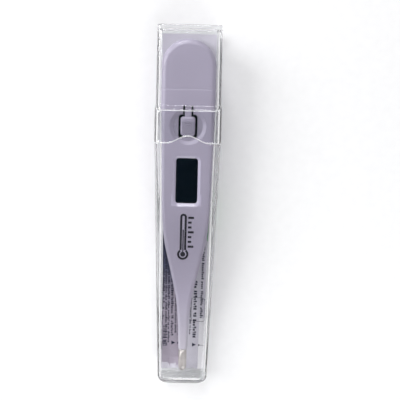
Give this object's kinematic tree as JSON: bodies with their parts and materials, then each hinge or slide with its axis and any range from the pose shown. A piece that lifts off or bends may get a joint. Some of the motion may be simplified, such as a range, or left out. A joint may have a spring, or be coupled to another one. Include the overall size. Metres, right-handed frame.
{
  "type": "digital thermometer",
  "caption": "Pen-shaped clinical thermometer with display, power key and battery cover, in a clear two-piece storage case with an instruction leaflet.",
  "frame": {"origin": "middle of the flat back that the closed case rests on", "axes": "+Y along the case towards its pull-off cap, +Z out of the display, +X to the right as the display is read with the cap end up"},
  "size_m": [0.025, 0.137, 0.016],
  "materials": {
    "clear_plastic": "clear polished styrene",
    "paper": "thin folded print paper",
    "body_plastic": "satin, fine grain, lilac white",
    "lens_plastic": "smoked, polished",
    "black_tape": "matt adhesive foam",
    "seal_rubber": "smooth",
    "carrier_plastic": "satin",
    "board_laminate": "solder mask",
    "lcd_glass": "clear",
    "reflector_foil": "diffuse silver",
    "zebra_rubber": "layered silicone",
    "black_epoxy": "poured drop",
    "chip_ceramic": "matt",
    "spring_steel": "bright spring strip",
    "stainless_tip": "drawn and polished",
    "brass_disc": "bright",
    "piezo_ceramic": "silvered",
    "cell_steel": "nickel plated",
    "contact_metal": "nickel plated",
    "screw_steel": "zinc plated",
    "enamelled_copper": "enamelled",
    "bead_glass": "dipped",
    "potting_resin": "cured resin"
  },
  "bodies": {
    "thermometer": {"housing": "body_plastic", "display_lens": "lens_plastic", "lens_tape": "black_tape", "chassis": "carrier_plastic", "circuit_board": "board_laminate", "lcd_frame": "carrier_plastic", "lcd_front_glass": "lcd_glass", "lcd_rear_glass": "lcd_glass", "lcd_reflector": "reflector_foil", "zebra_strips": "zebra_rubber", "controller_blob": "black_epoxy", "chip_parts": "chip_ceramic", "switch_dome": "spring_steel", "buzzer_plate": "brass_disc", "buzzer_ceramic": "piezo_ceramic", "buzzer_spring": "spring_steel", "button_cell": "cell_steel", "positive_contact": "contact_metal", "negative_contact": "contact_metal", "board_screws": "screw_steel", "lead_wires": "enamelled_copper", "thermistor_bead": "bead_glass", "tip_potting": "potting_resin", "probe_tip": "stainless_tip"},
    "battery_cover": {"battery_cover": "body_plastic", "cover_seal": "seal_rubber"},
    "case_cap": {"case_cap": "clear_plastic"},
    "case_base": {"case_base": "clear_plastic", "leaflet": "paper"},
    "power_key": {"power_key": "body_plastic"}
  },
  "joints": [
    {"name": "cover_pull", "type": "slide", "parent": "thermometer", "child": "battery_cover", "axis": [0, 1, 0], "range_m": [0, 0.022]},
    {"name": "cap_pull", "type": "slide", "parent": "battery_cover", "child": "case_cap", "axis": [0, 1, 0], "range_m": [0, 0.07]},
    {"name": "base_pull", "type": "slide", "parent": "thermometer", "child": "case_base", "axis": [0, -1, 0], "range_m": [0, 0.115]},
    {"name": "key_press", "type": "hinge", "parent": "thermometer", "child": "power_key", "pos_m": [0, 0.0383, 0.01168], "axis": [1, 0, 0], "range_deg": [0, 2], "stiffness_Nm_per_rad": 0.35, "deforming": ["switch_dome"]}
  ]
}
